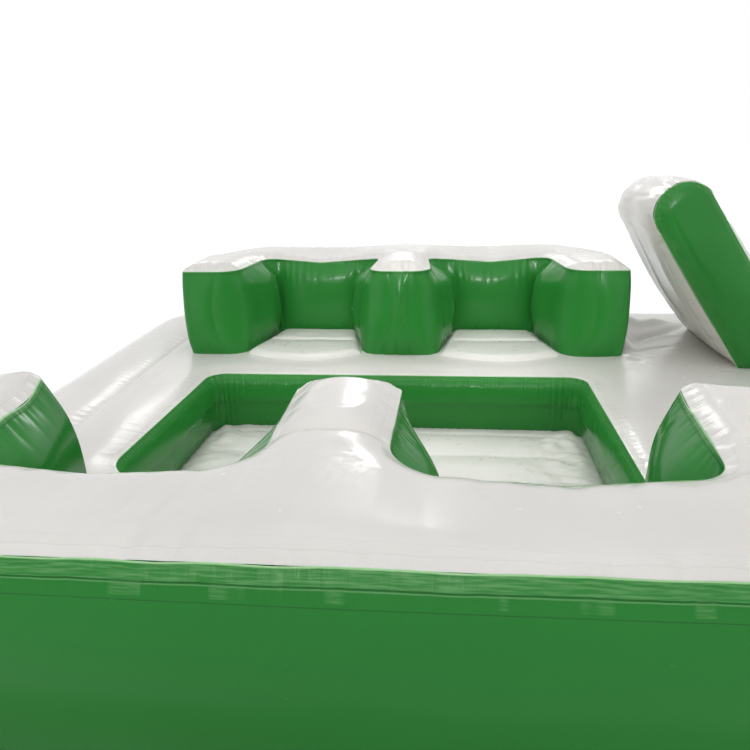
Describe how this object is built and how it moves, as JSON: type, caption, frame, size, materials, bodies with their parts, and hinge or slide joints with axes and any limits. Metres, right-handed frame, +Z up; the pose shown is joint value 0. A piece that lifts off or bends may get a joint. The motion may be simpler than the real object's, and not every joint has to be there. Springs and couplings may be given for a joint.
{
  "type": "inflatable floating island",
  "caption": "Inflatable deck with a sunken foot well, two facing benches with arms, and leaning backrests for sunbathing.",
  "frame": {"origin": "the middle of the underside, on the surface that the deck rests on", "axes": "+X along the deck, from the end with the well and benches to the sun deck; +Y across it, from the front bench to the rear bench; +Z up"},
  "size_m": [5.5246, 4.7348, 1.4034],
  "materials": {
    "green_tarpaulin": "gloss",
    "white_tarpaulin": "gloss",
    "floor_tarpaulin": "satin",
    "stainless_steel": "gloss",
    "valve_plastic": "satin",
    "cap_plastic": "satin",
    "webbing": "matte"
  },
  "bodies": {
    "island": {"perimeter_side_panel": "green_tarpaulin", "perimeter_tube_top": "white_tarpaulin", "deck_platform": "white_tarpaulin", "well_lining": "green_tarpaulin", "well_floor_mat": "floor_tarpaulin", "rear_bench_walls": "green_tarpaulin", "rear_bench_left_arm_top": "white_tarpaulin", "rear_bench_divider_top": "white_tarpaulin", "rear_bench_right_arm_top": "white_tarpaulin", "rear_bench_back_top": "white_tarpaulin", "rear_left_seat_pad": "floor_tarpaulin", "rear_right_seat_pad": "floor_tarpaulin", "rear_backrest_body": "white_tarpaulin", "rear_backrest_inner_side_panel": "green_tarpaulin", "rear_backrest_outer_side_panel": "green_tarpaulin", "front_bench_walls": "green_tarpaulin", "front_bench_left_arm_top": "white_tarpaulin", "front_bench_divider_top": "white_tarpaulin", "front_bench_right_arm_top": "white_tarpaulin", "front_bench_back_top": "white_tarpaulin", "front_left_seat_pad": "floor_tarpaulin", "front_right_seat_pad": "floor_tarpaulin", "front_backrest_body": "white_tarpaulin", "front_backrest_inner_side_panel": "green_tarpaulin", "front_backrest_outer_side_panel": "green_tarpaulin", "front_left_mooring_patch": "green_tarpaulin", "front_right_mooring_patch": "green_tarpaulin", "rear_left_mooring_patch": "green_tarpaulin", "rear_right_mooring_patch": "green_tarpaulin", "left_end_front_grab_handle": "webbing", "left_end_rear_grab_handle": "webbing", "right_end_front_grab_handle": "webbing", "right_end_rear_grab_handle": "webbing", "deck_valve_body": "valve_plastic", "rear_bench_valve_body": "valve_plastic", "front_bench_valve_body": "valve_plastic", "rear_backrest_valve_body": "valve_plastic", "front_backrest_valve_body": "valve_plastic", "relief_valve_body": "valve_plastic"},
    "deck_valve_cap": {"deck_valve_cap": "cap_plastic"},
    "deck_valve_plunger": {"deck_valve_plunger": "cap_plastic"},
    "rear_bench_valve_cap": {"rear_bench_valve_cap": "cap_plastic"},
    "rear_bench_valve_plunger": {"rear_bench_valve_plunger": "cap_plastic"},
    "front_bench_valve_cap": {"front_bench_valve_cap": "cap_plastic"},
    "front_bench_valve_plunger": {"front_bench_valve_plunger": "cap_plastic"},
    "rear_backrest_valve_cap": {"rear_backrest_valve_cap": "cap_plastic"},
    "rear_backrest_valve_plunger": {"rear_backrest_valve_plunger": "cap_plastic"},
    "front_backrest_valve_cap": {"front_backrest_valve_cap": "cap_plastic"},
    "front_backrest_valve_plunger": {"front_backrest_valve_plunger": "cap_plastic"},
    "relief_valve_poppet": {"relief_valve_poppet": "cap_plastic"},
    "front_left_mooring_ring": {"front_left_mooring_ring": "stainless_steel"},
    "front_right_mooring_ring": {"front_right_mooring_ring": "stainless_steel"},
    "rear_left_mooring_ring": {"rear_left_mooring_ring": "stainless_steel"},
    "rear_right_mooring_ring": {"rear_right_mooring_ring": "stainless_steel"}
  },
  "joints": [
    {"name": "deck_cap_turn", "type": "hinge", "parent": "island", "child": "deck_valve_cap", "pos_m": [2.7203, -0.25, 0.16], "axis": [1, 0, 0], "range_deg": [0, 90]},
    {"name": "deck_plunger_press", "type": "slide", "parent": "island", "child": "deck_valve_plunger", "axis": [-1, 0, 0], "range_m": [0, 0.005], "stiffness_N_per_m": 300, "springref_m": -0.004},
    {"name": "rear_bench_cap_turn", "type": "hinge", "parent": "island", "child": "rear_bench_valve_cap", "pos_m": [-2.1153, 1.4585, 0.6503], "axis": [-1, 0, 0], "range_deg": [0, 90]},
    {"name": "rear_bench_plunger_press", "type": "slide", "parent": "island", "child": "rear_bench_valve_plunger", "axis": [1, 0, 0], "range_m": [0, 0.005], "stiffness_N_per_m": 300, "springref_m": -0.004},
    {"name": "front_bench_cap_turn", "type": "hinge", "parent": "island", "child": "front_bench_valve_cap", "pos_m": [0.5453, -1.4585, 0.6503], "axis": [1, 0, 0], "range_deg": [0, 90]},
    {"name": "front_bench_plunger_press", "type": "slide", "parent": "island", "child": "front_bench_valve_plunger", "axis": [-1, 0, 0], "range_m": [0, 0.005], "stiffness_N_per_m": 300, "springref_m": -0.004},
    {"name": "rear_backrest_cap_turn", "type": "hinge", "parent": "island", "child": "rear_backrest_valve_cap", "pos_m": [0.98489, 1.6766, 0.82], "axis": [0, 1, 0], "range_deg": [0, 90]},
    {"name": "rear_backrest_plunger_press", "type": "slide", "parent": "island", "child": "rear_backrest_valve_plunger", "axis": [0, -1, 0], "range_m": [0, 0.005], "stiffness_N_per_m": 300, "springref_m": -0.004},
    {"name": "front_backrest_cap_turn", "type": "hinge", "parent": "island", "child": "front_backrest_valve_cap", "pos_m": [0.98489, -1.6766, 0.82], "axis": [0, -1, 0], "range_deg": [0, 90]},
    {"name": "front_backrest_plunger_press", "type": "slide", "parent": "island", "child": "front_backrest_valve_plunger", "axis": [0, 1, 0], "range_m": [0, 0.005], "stiffness_N_per_m": 300, "springref_m": -0.004},
    {"name": "relief_poppet_lift", "type": "slide", "parent": "island", "child": "relief_valve_poppet", "axis": [1, 0, 0], "range_m": [0, 0.004], "stiffness_N_per_m": 300, "springref_m": -0.004},
    {"name": "front_left_ring_swing", "type": "hinge", "parent": "island", "child": "front_left_mooring_ring", "pos_m": [-1.75, -2.3608, 0.16], "axis": [-1, 0, 0], "range_deg": [0, 170]},
    {"name": "front_right_ring_swing", "type": "hinge", "parent": "island", "child": "front_right_mooring_ring", "pos_m": [1.75, -2.3608, 0.16], "axis": [-1, 0, 0], "range_deg": [0, 170]},
    {"name": "rear_left_ring_swing", "type": "hinge", "parent": "island", "child": "rear_left_mooring_ring", "pos_m": [-1.75, 2.3608, 0.16], "axis": [1, 0, 0], "range_deg": [0, 170]},
    {"name": "rear_right_ring_swing", "type": "hinge", "parent": "island", "child": "rear_right_mooring_ring", "pos_m": [1.75, 2.3608, 0.16], "axis": [1, 0, 0], "range_deg": [0, 170]}
  ]
}
